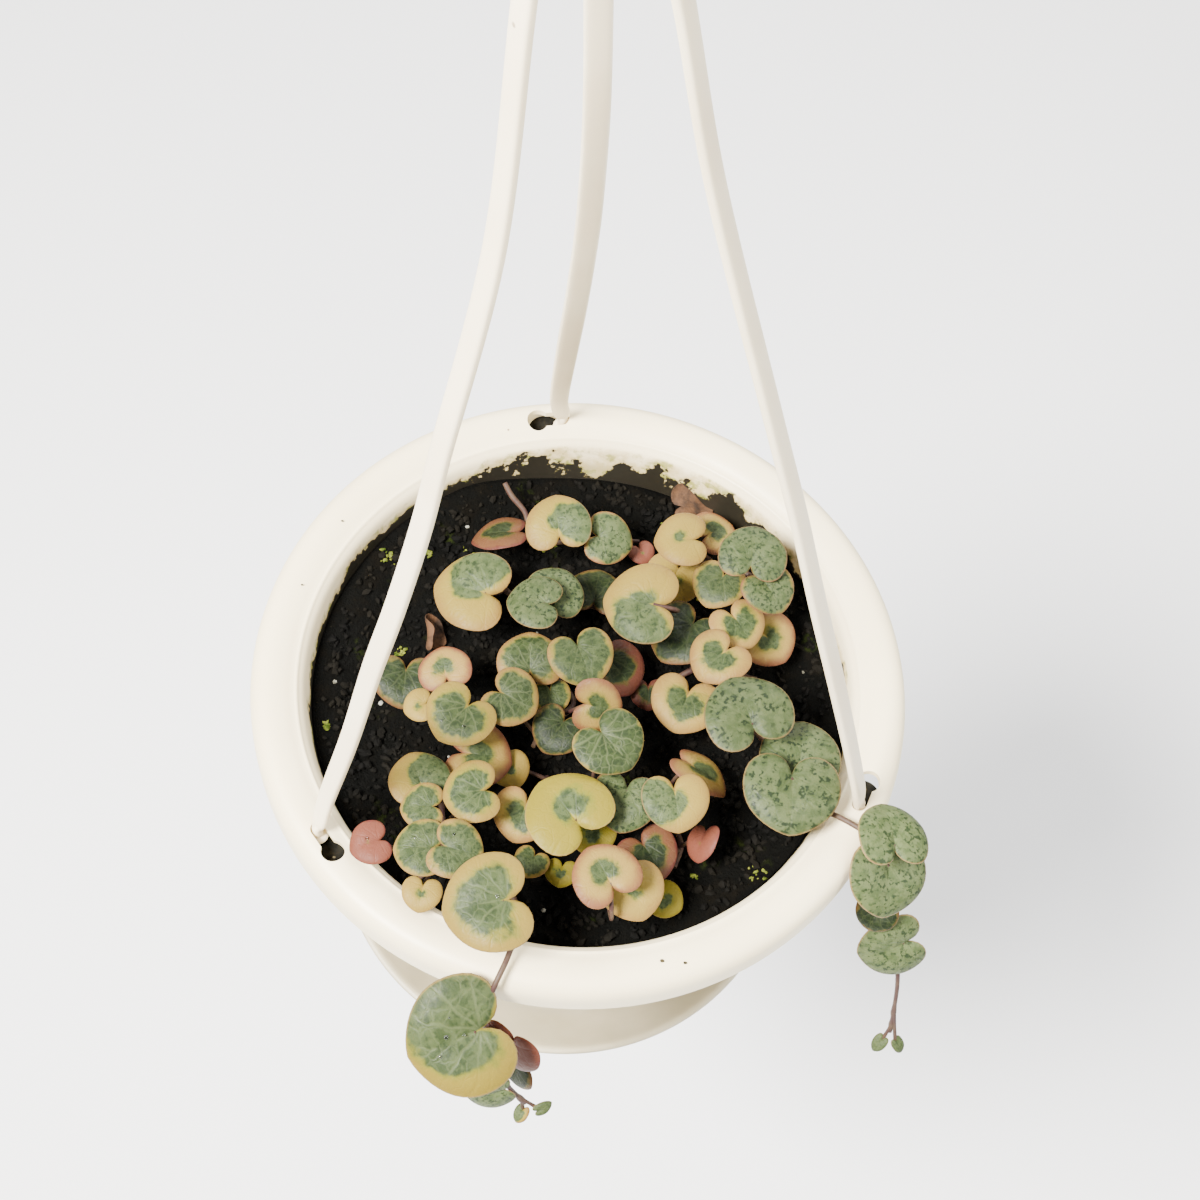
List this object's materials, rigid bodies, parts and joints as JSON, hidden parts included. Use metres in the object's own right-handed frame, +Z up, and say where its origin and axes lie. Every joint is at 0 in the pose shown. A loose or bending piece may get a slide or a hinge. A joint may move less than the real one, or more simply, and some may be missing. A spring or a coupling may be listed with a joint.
{
  "type": "string of hearts hanging pot",
  "caption": "String of hearts with variegated heart leaves in a white plastic hanging pot, with saucer, soil, three straps and a hook.",
  "frame": {"origin": "centre of the flat underside of the saucer", "axes": "+Z up along the pot's axis towards the hook, -Y towards the front of the plant, +X to its right"},
  "size_m": [0.1652, 0.1713, 0.4156],
  "materials": {
    "pot_plastic": "satin",
    "saucer_plastic": "satin",
    "strap_plastic": "satin",
    "soil_mix": "matte",
    "leaf": "satin"
  },
  "bodies": {
    "root": {"pot": "pot_plastic", "saucer": "saucer_plastic", "soil": "soil_mix", "hanger_hook": "strap_plastic", "strap_left": "strap_plastic", "strap_back": "strap_plastic", "strap_right": "strap_plastic", "vine_top": "leaf", "vine_back": "leaf", "vine_back_right": "leaf", "vine_right": "leaf", "vine_trail_right": "leaf", "vine_centre": "leaf", "vine_left": "leaf", "vine_left_front": "leaf", "vine_centre_front": "leaf", "vine_right_front": "leaf", "vine_front": "leaf", "vine_trail_front": "leaf"}
  },
  "joints": []
}
